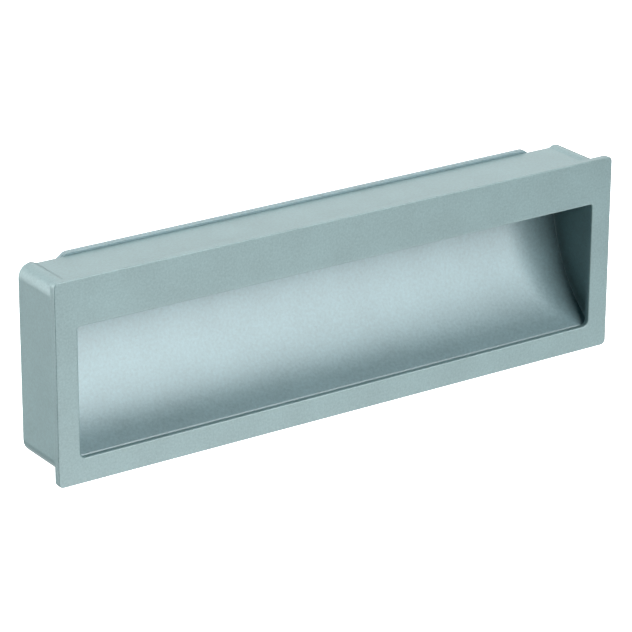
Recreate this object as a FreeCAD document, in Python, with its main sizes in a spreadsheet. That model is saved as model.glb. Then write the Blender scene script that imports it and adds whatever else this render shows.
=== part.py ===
# Recessed pull handle for a drawer front or sliding door.
# A moulded front frame carries a flange, four walls and a wide top rail.
# A curved finger scoop is seated in it from behind and closes the recess.
# X runs along the handle, Y goes back into the panel and Z is up, in millimetres.
# The origin is the centre of the flange's seating plane, which lies on the face of the panel.
import FreeCAD, Part
import os
import Sketcher

# Driving dimensions, each one a cell of the sheet.
SIZES = {
    # Flange that shows on the face of the panel.
    "flange_length": 190.0,
    "flange_height": 59.7,
    "flange_thickness": 2.3,
    "flange_corner": 1.6,
    "flange_front_rounding": 0.3,
    "flange_back_rounding": 0.4,
    # Opening for the fingers, set by the rails left around it.
    "end_rail": 7.0,
    "bottom_rail": 7.45,
    "top_rail": 13.8,
    "opening_low_corner": 1.8,
    "opening_high_corner": 0.6,
    "opening_rounding": 0.45,
    "rim_thickness": 1.5,
    # Box of walls behind the flange, which fills the cut-out in the panel.
    "end_overhang": 1.2,
    "bottom_overhang": 2.5,
    "top_overhang": 2.05,
    "wall_depth": 19.4,
    "end_wall": 2.9,
    "bottom_wall": 2.0,
    "top_wall": 2.15,
    "box_low_corner": 4.2,
    "box_high_corner": 3.9,
    "cavity_corner": 1.0,
    "wall_edge_rounding": 0.4,
    # The end walls stand a little proud of the top wall and slope down to it.
    "ridge_height": 0.65,
    "ridge_flat": 0.3,
    "ridge_slope": 1.5,
    "ridge_rounding": 0.8,
    # Scoop: a plate bent to an arc, with a tab behind the top wall and a lip behind the lower rail.
    "scoop_radius": 48.0,
    "scoop_thickness": 1.4,
    "scoop_end_clearance": 0.5,
    "scoop_low_corner": 1.8,
    "shoulder_lap": 1.0,
    "shoulder_corner": 2.5,
    "lip_gap": 0.8,
    "lip_height": 2.6,
    "lip_thickness": 2.0,
    "lip_rounding": 1.2,
    "tab_length": 163.2,
    "tab_slope": 2.8,
    "tab_rise": 0.95,
    "tab_corner": 3.0,
    "scoop_edge_rounding": 0.4,
}

doc = FreeCAD.newDocument("recessed_pull_handle")


def make_sheet():
    """Sheet of driving dimensions, a name in column A and its number in column B."""
    sheet = doc.addObject("Spreadsheet::Sheet", "Sizes")
    for row, (name, value) in enumerate(SIZES.items(), start=1):
        sheet.set(f"A{row}", name)
        sheet.set(f"B{row}", str(value))
        sheet.setAlias(f"B{row}", name)
    doc.recompute()
    return sheet


sheet = make_sheet()


def size(words):
    """Expression text in which each name of a driving dimension points at its cell."""
    return " ".join(f"Sizes.{word}" if word in SIZES else word for word in words.split())


def number(words):
    """Present value of an expression."""
    return float(sheet.evalExpression(size(words)))


NEAR = 0.01


def near(value, target):
    """True where a coordinate lies on a given plane."""
    return abs(value - target) < NEAR


# Places that several features share. Z is measured from the middle of the flange.
BOX_HALF = "( flange_length / 2 - end_overhang )"
CAVITY_HALF = f"( {BOX_HALF} - end_wall )"
BOX_LOW = "( bottom_overhang - flange_height / 2 )"
BOX_HIGH = "( flange_height / 2 - top_overhang )"
RIDGE_HIGH = f"( {BOX_HIGH} + ridge_height )"
RIDGE_CREST = f"( {BOX_HALF} - box_high_corner - ridge_flat )"
SADDLE_HALF = f"( {RIDGE_CREST} - ridge_slope )"
CAVITY_LOW = f"( {BOX_LOW} + bottom_wall )"
CAVITY_HIGH = f"( {BOX_HIGH} - top_wall )"
OPENING_HALF = "( flange_length / 2 - end_rail )"
OPENING_LOW = "( bottom_rail - flange_height / 2 )"
OPENING_HIGH = "( flange_height / 2 - top_rail )"
LIP_FRONT = "( rim_thickness + lip_gap - flange_thickness )"
SCOOP_HALF = f"( {CAVITY_HALF} - scoop_end_clearance )"
SHOULDER_HIGH = f"( {CAVITY_HIGH} + shoulder_lap )"
TAB_FOOT = "( tab_length / 2 )"
TAB_HALF = f"( {TAB_FOOT} - tab_slope )"
TAB_HIGH = f"( {BOX_HIGH} + tab_rise )"
# Room that a cutting outline is given beyond the solid that it trims.
SPARE = "( scoop_thickness + wall_depth )"


def new_body(label):
    """Body for one moulded piece."""
    body = doc.addObject("PartDesign::Body", label)
    body.Label = label
    return body


def new_sketch(body, name, plane):
    """Sketch laid on one of the body's own origin planes."""
    sketch = body.newObject("Sketcher::SketchObject", name)
    support = next(item for item in body.Origin.OriginFeatures if item.Role == plane)
    sketch.AttachmentSupport = [(support, "")]
    sketch.MapMode = "FlatFace"
    return sketch


def bind(sketch, kind, first, second, words):
    """Dimension from one vertex to another, with the larger side chosen so that its value is positive."""
    if number(words) < 0:
        first, second, words = second, first, f"-1 * {words}"
    index = sketch.addConstraint(Sketcher.Constraint(kind, *first, *second, number(words)))
    sketch.setExpression(f"Constraints[{index}]", size(words))


def outline(sketch, corners):
    """Closed outline of straight lines. A corner is (x, y, rounding), as expressions.

    Only a corner between a level and an upright line is rounded.
    """
    count = len(corners)
    points = [FreeCAD.Vector(number(x), number(y), 0) for x, y, _ in corners]
    radii = [number(rounding) if rounding else 0 for _, _, rounding in corners]
    lines = []
    kinds = []
    for i in range(count):
        start = points[i]
        end = points[(i + 1) % count]
        along = (end - start).normalize()
        first = start + along * radii[i]
        last = end - along * radii[(i + 1) % count]
        lines.append(sketch.addGeometry(Part.LineSegment(first, last), False))
        kinds.append("Horizontal" if near(along.y, 0) else "Vertical" if near(along.x, 0) else "Sloped")
        if kinds[i] != "Sloped":
            sketch.addConstraint(Sketcher.Constraint(kinds[i], lines[i]))
    origin = (-1, 1)
    for i in range(count):
        x, y, _ = corners[i]
        meeting = (kinds[i - 1], kinds[i])
        if kinds[i] == "Horizontal" or "Horizontal" not in meeting:
            bind(sketch, "DistanceY", origin, (lines[i], 1), y)
        if kinds[i] == "Vertical" or "Vertical" not in meeting:
            bind(sketch, "DistanceX", origin, (lines[i], 1), x)
    for i in range(count):
        before, after = lines[i - 1], lines[i]
        if not radii[i]:
            sketch.addConstraint(Sketcher.Constraint("Coincident", before, 2, after, 1))
            continue
        into = (points[i] - points[i - 1]).normalize()
        out = (points[(i + 1) % count] - points[i]).normalize()
        centre = points[i] + (out - into) * radii[i]
        middle = centre + (into - out).normalize() * radii[i]
        arc = Part.Arc(points[i] - into * radii[i], middle, points[i] + out * radii[i])
        arc_index = sketch.addGeometry(arc, False)
        turns_left = into.x * out.y - into.y * out.x > 0
        arc_in, arc_out = (1, 2) if turns_left else (2, 1)
        sketch.addConstraint(Sketcher.Constraint("Tangent", before, 2, arc_index, arc_in))
        sketch.addConstraint(Sketcher.Constraint("Tangent", arc_index, arc_out, after, 1))
        index = sketch.addConstraint(Sketcher.Constraint("Radius", arc_index, radii[i]))
        sketch.setExpression(f"Constraints[{index}]", size(corners[i][2]))
    doc.recompute()
    return sketch


def rectangle(body, name, half, low, high, low_rounding=None, high_rounding=None):
    """Upright rectangle on the XZ plane, centred in X, with its own rounding at foot and head."""
    corners = [
        (f"-1 * {half}", low, low_rounding),
        (half, low, low_rounding),
        (half, high, high_rounding),
        (f"-1 * {half}", high, high_rounding),
    ]
    return outline(new_sketch(body, name, "XZ_Plane"), corners)


def extrude(body, kind, name, sketch, length, backwards):
    """Pad or Pocket from the XZ plane, backwards into +Y or forwards into -Y."""
    before = body.Shape.Volume if body.Tip and not body.Tip.Shape.isNull() else 0.0
    feature = body.newObject(f"PartDesign::{kind}", name)
    feature.Profile = sketch
    # A pad leaves this plane towards -Y and a pocket towards +Y, unless reversed.
    feature.Reversed = backwards if kind == "Pad" else not backwards
    feature.setExpression("Length", size(length))
    doc.recompute()
    grew = body.Shape.Volume > before
    if grew != (kind == "Pad") or body.Shape.Volume == before:
        raise RuntimeError(f"{name} did not change the solid as meant")
    return feature


def edges_where(shape, test):
    """Names of the edges whose two ends and middle all pass a test."""
    names = []
    for index, edge in enumerate(shape.Edges, start=1):
        middle = edge.valueAt((edge.FirstParameter + edge.LastParameter) / 2)
        points = [vertex.Point for vertex in edge.Vertexes] + [middle]
        if all(test(point) for point in points):
            names.append(f"Edge{index}")
    return names


def round_edges(body, name, radius, test):
    """Fillet on the edges of the body's last feature that pass a test."""
    base = body.Tip
    names = edges_where(base.Shape, test)
    if not names:
        raise RuntimeError(f"{name} found no edge")
    feature = body.newObject("PartDesign::Fillet", name)
    feature.Base = (base, names)
    feature.setExpression("Radius", size(radius))
    doc.recompute()
    return feature


def make_front_frame():
    """Flange, box of walls and the wide top rail that the fingers pull, moulded as one."""
    body = new_body("front_frame")

    flange = rectangle(body, "flange_outline", "( flange_length / 2 )", "-1 * flange_height / 2",
                       "flange_height / 2", "flange_corner", "flange_corner")
    extrude(body, "Pad", "flange", flange, "flange_thickness", backwards=False)

    box = rectangle(body, "box_outline", BOX_HALF, BOX_LOW, RIDGE_HIGH,
                    "box_low_corner", "box_high_corner")
    extrude(body, "Pad", "box", box, "wall_depth", backwards=True)

    # Between the two ridges the top wall lies lower than the ends.
    above = f"( {RIDGE_HIGH} + box_high_corner )"
    saddle = [
        (f"-1 * {SADDLE_HALF}", BOX_HIGH, None),
        (SADDLE_HALF, BOX_HIGH, None),
        (RIDGE_CREST, RIDGE_HIGH, None),
        (RIDGE_CREST, above, None),
        (f"-1 * {RIDGE_CREST}", above, None),
        (f"-1 * {RIDGE_CREST}", RIDGE_HIGH, None),
    ]
    saddle_sketch = outline(new_sketch(body, "saddle_outline", "XZ_Plane"), saddle)
    extrude(body, "Pocket", "saddle", saddle_sketch, "wall_depth", backwards=True)
    for name, across, up in (("ridge_foot", SADDLE_HALF, BOX_HIGH), ("ridge_crest", RIDGE_CREST, RIDGE_HIGH)):
        x, z = number(across), number(up)
        round_edges(body, name, "ridge_rounding",
                    lambda p: near(abs(p.x), x) and near(p.z, z) and p.y > -NEAR)

    cavity = rectangle(body, "cavity_outline", CAVITY_HALF, CAVITY_LOW, CAVITY_HIGH,
                       "cavity_corner", "cavity_corner")
    extrude(body, "Pocket", "cavity", cavity, "wall_depth", backwards=True)

    # Inside the box the flange thins to a rim round the opening. The top rail keeps its full thickness.
    seat = rectangle(body, "rim_outline", CAVITY_HALF, CAVITY_LOW, OPENING_HIGH, "cavity_corner")
    extrude(body, "Pocket", "rim", seat, "flange_thickness - rim_thickness", backwards=False)

    opening = rectangle(body, "opening_outline", OPENING_HALF, OPENING_LOW, OPENING_HIGH,
                        "opening_low_corner", "opening_high_corner")
    extrude(body, "Pocket", "opening", opening, "flange_thickness", backwards=False)

    front = number("-1 * flange_thickness")
    half = number(OPENING_HALF)
    low = number(OPENING_LOW)
    head = number(OPENING_HIGH)

    def in_opening(p):
        return abs(p.x) < half + NEAR and low - NEAR < p.z < head + NEAR

    round_edges(body, "opening_edge", "opening_rounding", lambda p: near(p.y, front) and in_opening(p))
    round_edges(body, "flange_front_edge", "flange_front_rounding",
                lambda p: near(p.y, front) and on_flange_side(p))
    round_edges(body, "flange_back_edge", "flange_back_rounding",
                lambda p: near(p.y, 0) and on_flange_side(p))
    depth = number("wall_depth")
    round_edges(body, "wall_back_edge", "wall_edge_rounding",
                lambda p: near(p.y, depth) and on_box_side(p))
    return body


def on_flange_side(p):
    """True on the flange's outer side, its rounded corners included."""
    half = number("flange_length / 2")
    high = number("flange_height / 2")
    corner = number("flange_corner")
    across = abs(p.x) - (half - corner)
    up = abs(p.z) - (high - corner)
    if across > 0 and up > 0:
        return near((across ** 2 + up ** 2) ** 0.5, corner)
    return near(abs(p.x), half) or near(abs(p.z), high)


def on_box_side(p):
    """True on the box's outer side, apart from the saddle that carries the scoop's tab."""
    if abs(p.x) < number(RIDGE_CREST) + NEAR and p.z > number(CAVITY_HIGH):
        return False
    in_width = abs(p.x) < number(CAVITY_HALF) + NEAR
    in_height = number(CAVITY_LOW) - NEAR < p.z < number(CAVITY_HIGH) + NEAR
    return not (in_width and in_height)


def make_finger_scoop():
    """Plate bent to an arc, from a lip on a foot behind the lower rail to a tab behind the top wall."""
    body = new_body("finger_scoop")
    section = new_sketch(body, "section", "YZ_Plane")

    back = number("wall_depth")
    radius = number("scoop_radius")
    thickness = number("scoop_thickness")
    front = number(LIP_FRONT)
    floor = number(CAVITY_LOW)
    lip = floor + number("lip_height")
    head = number(TAB_HIGH)
    centre_y = back - radius
    centre_z = lip + (radius ** 2 - (front - centre_y) ** 2) ** 0.5
    heel = front + number("lip_thickness")
    heel_z = centre_z - ((radius + thickness) ** 2 - (heel - centre_y) ** 2) ** 0.5

    def at(y, z):
        return FreeCAD.Vector(y, z, 0)

    def arc_between(r, start, end):
        mean = (start + end) / 2 - at(centre_y, centre_z)
        return Part.Arc(start, at(centre_y, centre_z) + mean.normalize() * r, end)

    nose = section.addGeometry(Part.LineSegment(at(front, floor), at(front, lip)), False)
    bowl = section.addGeometry(arc_between(radius, at(front, lip), at(back, centre_z)), False)
    face = section.addGeometry(Part.LineSegment(at(back, centre_z), at(back, head)), False)
    top = section.addGeometry(Part.LineSegment(at(back, head), at(back + thickness, head)), False)
    rear = section.addGeometry(
        Part.LineSegment(at(back + thickness, head), at(back + thickness, centre_z)), False)
    shell = section.addGeometry(
        arc_between(radius + thickness, at(heel, heel_z), at(back + thickness, centre_z)), False)
    foot = section.addGeometry(Part.LineSegment(at(heel, heel_z), at(heel, floor)), False)
    sole = section.addGeometry(Part.LineSegment(at(heel, floor), at(front, floor)), False)

    for line in (nose, face, rear, foot):
        section.addConstraint(Sketcher.Constraint("Vertical", line))
    for line in (top, sole):
        section.addConstraint(Sketcher.Constraint("Horizontal", line))
    section.addConstraint(Sketcher.Constraint("Coincident", nose, 2, bowl, 1))
    section.addConstraint(Sketcher.Constraint("Tangent", bowl, 2, face, 1))
    section.addConstraint(Sketcher.Constraint("Coincident", face, 2, top, 1))
    section.addConstraint(Sketcher.Constraint("Coincident", top, 2, rear, 1))
    section.addConstraint(Sketcher.Constraint("Tangent", rear, 2, shell, 2))
    section.addConstraint(Sketcher.Constraint("Coincident", shell, 1, foot, 1))
    section.addConstraint(Sketcher.Constraint("Coincident", foot, 2, sole, 1))
    section.addConstraint(Sketcher.Constraint("Coincident", sole, 2, nose, 1))
    section.addConstraint(Sketcher.Constraint("Coincident", bowl, 3, shell, 3))

    origin = (-1, 1)
    bind(section, "DistanceX", origin, (nose, 1), LIP_FRONT)
    bind(section, "DistanceY", origin, (nose, 1), CAVITY_LOW)
    bind(section, "DistanceY", (nose, 1), (nose, 2), "lip_height")
    bind(section, "DistanceX", (nose, 1), (foot, 2), "lip_thickness")
    bind(section, "DistanceX", origin, (face, 1), "wall_depth")
    bind(section, "DistanceX", (top, 1), (top, 2), "scoop_thickness")
    bind(section, "DistanceY", origin, (face, 2), TAB_HIGH)
    index = section.addConstraint(Sketcher.Constraint("Radius", bowl, radius))
    section.setExpression(f"Constraints[{index}]", size("scoop_radius"))
    doc.recompute()

    plate = body.newObject("PartDesign::Pad", "plate")
    plate.Profile = section
    plate.Midplane = True
    plate.setExpression("Length", size(f"2 * {SCOOP_HALF}"))
    doc.recompute()

    round_edges(body, "lip_edge", "lip_rounding", lambda p: near(p.y, front) and near(p.z, lip))

    # Everything outside this front view is trimmed off: rounded low corners and a narrower tab.
    full = body.Shape.Volume
    wide = f"( {SCOOP_HALF} + scoop_thickness )"
    trim = new_sketch(body, "trim_outline", "XZ_Plane")
    view = [
        (f"-1 * {SCOOP_HALF}", CAVITY_LOW, "scoop_low_corner"),
        (SCOOP_HALF, CAVITY_LOW, "scoop_low_corner"),
        (SCOOP_HALF, SHOULDER_HIGH, "shoulder_corner"),
        (TAB_FOOT, SHOULDER_HIGH, None),
        (TAB_HALF, TAB_HIGH, None),
        (f"-1 * {TAB_HALF}", TAB_HIGH, None),
        (f"-1 * {TAB_FOOT}", SHOULDER_HIGH, None),
        (f"-1 * {SCOOP_HALF}", SHOULDER_HIGH, "shoulder_corner"),
    ]
    outline(trim, view)
    around = [
        (f"-1 * {wide}", f"( {CAVITY_LOW} - {SPARE} )", None),
        (wide, f"( {CAVITY_LOW} - {SPARE} )", None),
        (wide, f"( {TAB_HIGH} + {SPARE} )", None),
        (f"-1 * {wide}", f"( {TAB_HIGH} + {SPARE} )", None),
    ]
    outline(trim, around)
    cut = body.newObject("PartDesign::Pocket", "trim")
    cut.Profile = trim
    cut.Type = "ThroughAll"
    cut.Midplane = True
    doc.recompute()
    if not 0 < body.Shape.Volume < full:
        raise RuntimeError("the trim did not cut the plate")

    tab_end = number(TAB_HALF)
    round_edges(body, "tab_ends", "tab_corner", lambda p: near(abs(p.x), tab_end) and near(p.z, head))

    # The rest of the front edge is rounded too: the lip's corners, both sides, the shoulders and the tab.
    half = number(SCOOP_HALF)
    nose_half = half - number("scoop_low_corner")
    tab_foot = number(TAB_FOOT)
    shoulder = number(SHOULDER_HIGH)

    def on_bowl_end(p):
        reach = ((p.y - centre_y) ** 2 + (p.z - centre_z) ** 2) ** 0.5
        return near(reach, radius) and near(abs(p.x), half)

    def on_nose_end(p):
        return near(p.y, front) and abs(p.x) > nose_half - NEAR

    def on_tab(p):
        return near(p.y, back) and abs(p.x) < tab_foot + NEAR and p.z > shoulder - NEAR

    round_edges(body, "front_edge", "scoop_edge_rounding",
                lambda p: on_bowl_end(p) or on_nose_end(p) or on_tab(p))
    return body


def check_and_export(bodies):
    """Stop on any failed object, then write each piece to its own file."""
    for item in doc.Objects:
        if "Invalid" in item.State or "Error" in item.State:
            raise RuntimeError(f"{item.Name} failed: {item.State}")
    for body in bodies:
        shape = body.Shape
        if shape.isNull() or not shape.isValid() or len(shape.Solids) != 1:
            raise RuntimeError(f"{body.Label} is not one valid solid")
    os.makedirs("parts", exist_ok=True)
    for body in bodies:
        body.Shape.exportStep(f"parts/{body.Label}.step")
        print(body.Label, "volume", round(body.Shape.Volume, 1), "box", body.Shape.BoundBox)


check_and_export([make_front_frame(), make_finger_scoop()])
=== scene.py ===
import math

import bpy
from mathutils import Matrix, Vector


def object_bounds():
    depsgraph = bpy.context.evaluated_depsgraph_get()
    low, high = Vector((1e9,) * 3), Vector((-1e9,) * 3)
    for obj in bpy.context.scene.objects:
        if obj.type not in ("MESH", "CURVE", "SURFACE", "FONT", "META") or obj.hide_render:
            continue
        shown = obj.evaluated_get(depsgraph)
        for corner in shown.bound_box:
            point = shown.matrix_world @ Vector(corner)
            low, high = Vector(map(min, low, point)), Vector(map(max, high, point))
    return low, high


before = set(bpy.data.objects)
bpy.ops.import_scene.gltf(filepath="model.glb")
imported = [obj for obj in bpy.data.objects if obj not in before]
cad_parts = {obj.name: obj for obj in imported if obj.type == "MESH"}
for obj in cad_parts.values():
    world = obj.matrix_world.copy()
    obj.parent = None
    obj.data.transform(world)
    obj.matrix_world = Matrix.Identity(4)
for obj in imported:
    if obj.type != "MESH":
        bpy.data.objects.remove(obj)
cad_low, cad_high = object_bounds()

MM = 0.001
WHITE = (1.0, 1.0, 1.0, 1.0)

# Camera, placed as the photograph was taken: from the left, a little above, with a long lens.
CAMERA_PLACE = Vector((-0.49994, -0.71461, 0.34317))
CAMERA_AZIMUTH = -34.478
CAMERA_ELEVATION = 21.525
CAMERA_ROLL = 0.266
CAMERA_LENS = 188.21
SENSOR_WIDTH = 36.0
CAMERA_NEAREST = 0.01
CAMERA_FARTHEST = 50

# The floor lies well below the pull and glows, so that it meets the white backdrop without an edge.
FLOOR_DROP = 0.30
FLOOR_SIDE = 14.0
FLOOR_COLOUR = (0.97, 0.97, 0.97, 1.0)
FLOOR_ROUGHNESS = 0.9
FLOOR_GLOW = 1.0

# Soft boxes round the pull. Azimuth 0 is straight in front and grows to the right, elevation grows upwards.
# Spreads are half angles across and up, and strength is the brightness of the box's face.
LIGHT_DISTANCE = 3.0
SOFT_BOXES = {
    "key_box": {"azimuth": 17, "elevation": 23, "spread": (25, 29), "strength": 3.38},
    "low_card": {"azimuth": 24, "elevation": -40, "spread": (24, 15), "strength": 2.9},
    "back_wall": {"azimuth": 168, "elevation": 30, "spread": (44, 25), "strength": 1.14},
    "back_floor": {"azimuth": 152, "elevation": -42, "spread": (34, 15), "strength": 0.70},
    "left_card": {"azimuth": -117, "elevation": 5, "spread": (24, 28), "strength": 4.0},
    "top_box": {"azimuth": 170, "elevation": 78, "spread": (35, 15), "strength": 2.4},
}

# Silver lacquer on each moulded piece: its tint, the size of its flakes and how much they change its tone.
PAINTS = {
    "front_frame": {"tint": (0.241, 0.373, 0.386), "flake_size": 0.6 * MM, "flake_weight": 0.55},
    # The scoop has the frame's silver paint made a little bluer: this is painted cool shade of the hollow it
    # lines.
    "finger_scoop": {"tint": (0.241, 0.373, 0.404), "flake_size": 0.85 * MM, "flake_weight": 0.6},
}
FLAKE_METAL = 0.15
FLAKE_DETAIL = 2.0
FLAKE_CRISPNESS = 0.6
FLAKE_RELIEF = 0.01 * MM
FLAKE_RELIEF_WEIGHT = 0.25
CLOUD_SIZE = 14 * MM
CLOUD_WEIGHT = 0.25
CLOUD_DETAIL = 2.0
TONE_LIMIT = 0.5
LACQUER_IOR = 2.1
SHEEN_ROUGHNESS = 0.35
SHEEN_CHANGE = 0.05

# The noise seldom goes below or above these values.
NOISE_LOW = 0.2
NOISE_HIGH = 0.8


def towards(azimuth, elevation):
    """Unit direction from the pull, with both angles in degrees."""
    turn = math.radians(azimuth)
    lift = math.radians(elevation)
    return Vector((math.sin(turn) * math.cos(lift), -math.cos(turn) * math.cos(lift), math.sin(lift)))


def facing_back(direction):
    """Axes of a camera or lamp that looks along -direction, with its own up side up."""
    level = Vector((0, 0, 1)).cross(direction).normalized()
    upright = direction.cross(level)
    return Matrix((level, upright, direction)).transposed()


def add_camera():
    """Camera with the photograph's place, direction and lens."""
    back = towards(CAMERA_AZIMUTH, CAMERA_ELEVATION)
    axes = Matrix.Rotation(math.radians(CAMERA_ROLL), 3, back) @ facing_back(back)
    data = bpy.data.cameras.new("view")
    data.sensor_width = SENSOR_WIDTH
    data.lens = CAMERA_LENS
    data.clip_start = CAMERA_NEAREST
    data.clip_end = CAMERA_FARTHEST
    camera = bpy.data.objects.new("view", data)
    bpy.context.scene.collection.objects.link(camera)
    camera.matrix_world = Matrix.Translation(CAMERA_PLACE) @ axes.to_4x4()
    bpy.context.scene.camera = camera


def add_soft_box(name, azimuth, elevation, spread, strength):
    """Rectangular soft box that faces the pull."""
    direction = towards(azimuth, elevation)
    wide, high = (2 * LIGHT_DISTANCE * math.tan(math.radians(angle)) for angle in spread)
    data = bpy.data.lights.new(name, "AREA")
    data.shape = "RECTANGLE"
    data.size = wide
    data.size_y = high
    data.energy = strength * math.pi * wide * high
    box = bpy.data.objects.new(name, data)
    box.matrix_world = Matrix.Translation(direction * LIGHT_DISTANCE) @ facing_back(direction).to_4x4()
    box.visible_camera = False
    bpy.context.scene.collection.objects.link(box)


class Nodes:
    """Short way to write a node tree: add a node with its settings, then link its sockets."""

    def __init__(self, tree):
        self.tree = tree
        self.tree.nodes.clear()

    def add(self, kind, settings=None, **inputs):
        """New node. An underscore in an input's name stands for a space in the socket's name."""
        node = self.tree.nodes.new(kind)
        for name, value in (settings or {}).items():
            setattr(node, name, value)
        for name, value in inputs.items():
            self.feed(node, name.replace("_", " "), value)
        return node

    def feed(self, node, name, value):
        """Link another node's output to a socket, or set the socket. The name may be the socket's number."""
        socket = node.inputs[int(name)] if name.isdigit() else node.inputs[name]
        if isinstance(value, bpy.types.NodeSocket):
            self.tree.links.new(value, socket)
        else:
            socket.default_value = value

    def maths(self, operation, first, second):
        """Output of one sum or product."""
        node = self.tree.nodes.new("ShaderNodeMath")
        node.operation = operation
        self.feed(node, "0", first)
        self.feed(node, "1", second)
        return node.outputs[0]


def add_backdrop():
    """White surroundings that only the camera sees, so the soft boxes alone light the pull."""
    world = bpy.data.worlds.new("backdrop")
    bpy.context.scene.world = world
    world.use_nodes = True
    nodes = Nodes(world.node_tree)
    shade = nodes.add("ShaderNodeBackground", Color=WHITE, Strength=1.0)
    nodes.add("ShaderNodeOutputWorld", Surface=shade.outputs[0])
    world.cycles_visibility.diffuse = False
    world.cycles_visibility.glossy = False


def add_floor():
    """Plain pale floor under the pull. It neither shades nor lights the pull."""
    half = FLOOR_SIDE / 2
    level = cad_low.z - FLOOR_DROP
    mesh = bpy.data.meshes.new("floor")
    corners = [(-half, -half, level), (half, -half, level), (half, half, level), (-half, half, level)]
    mesh.from_pydata(corners, [], [(0, 1, 2, 3)])
    floor = bpy.data.objects.new("floor", mesh)
    bpy.context.scene.collection.objects.link(floor)
    floor.visible_diffuse = False
    floor.visible_glossy = False
    floor.visible_shadow = False
    material = bpy.data.materials.new("pale_floor")
    material.use_nodes = True
    nodes = Nodes(material.node_tree)
    paint = nodes.add("ShaderNodeBsdfPrincipled", Base_Color=FLOOR_COLOUR, Roughness=FLOOR_ROUGHNESS,
                      Emission_Color=WHITE, Emission_Strength=FLOOR_GLOW)
    nodes.add("ShaderNodeOutputMaterial", Surface=paint.outputs[0])
    floor.data.materials.append(material)


def silver_lacquer(name, tint, flake_size, flake_weight):
    """Satin silver lacquer: a cool grey base, a soft neutral sheen, fine flakes and slow changes of tone."""
    material = bpy.data.materials.new(name)
    material.use_nodes = True
    nodes = Nodes(material.node_tree)
    place = nodes.add("ShaderNodeTexCoord").outputs["Object"]
    flakes = nodes.add("ShaderNodeTexNoise", Vector=place, Scale=1 / flake_size, Detail=FLAKE_DETAIL,
                       Roughness=FLAKE_CRISPNESS).outputs["Fac"]
    clouds = nodes.add("ShaderNodeTexNoise", Vector=place, Scale=1 / CLOUD_SIZE,
                       Detail=CLOUD_DETAIL).outputs["Fac"]

    # The noises lie round a half, so the middle of their sum leaves the tint as it is.
    mixed = nodes.maths("ADD", nodes.maths("MULTIPLY", flakes, flake_weight),
                        nodes.maths("MULTIPLY", clouds, CLOUD_WEIGHT))
    middle = (flake_weight + CLOUD_WEIGHT) / 2
    tone = nodes.add("ShaderNodeMapRange", Value=mixed, From_Min=middle - TONE_LIMIT,
                     From_Max=middle + TONE_LIMIT, To_Min=1 - TONE_LIMIT, To_Max=1 + TONE_LIMIT)
    colour = nodes.add("ShaderNodeVectorMath", {"operation": "SCALE"})
    nodes.feed(colour, "0", tint)
    nodes.feed(colour, "Scale", tone.outputs["Result"])

    sheen = nodes.add("ShaderNodeMapRange", Value=flakes, From_Min=NOISE_LOW, From_Max=NOISE_HIGH,
                      To_Min=SHEEN_ROUGHNESS - SHEEN_CHANGE, To_Max=SHEEN_ROUGHNESS + SHEEN_CHANGE)
    relief = nodes.add("ShaderNodeBump", Strength=FLAKE_RELIEF_WEIGHT, Distance=FLAKE_RELIEF, Height=flakes)
    lacquer = nodes.add("ShaderNodeBsdfPrincipled", Base_Color=colour.outputs[0], Metallic=FLAKE_METAL,
                        Roughness=sheen.outputs["Result"], IOR=LACQUER_IOR, Normal=relief.outputs[0])
    nodes.add("ShaderNodeOutputMaterial", Surface=lacquer.outputs[0])
    return material


def paint_pieces():
    """Paint both moulded pieces."""
    for node, paint in PAINTS.items():
        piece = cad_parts[node]
        piece.material_slots[0].material = silver_lacquer(node + "_paint", **paint)


bpy.context.scene.view_settings.view_transform = "Standard"
add_camera()
for box_name, box in SOFT_BOXES.items():
    add_soft_box(box_name, **box)
add_backdrop()
add_floor()
paint_pieces()
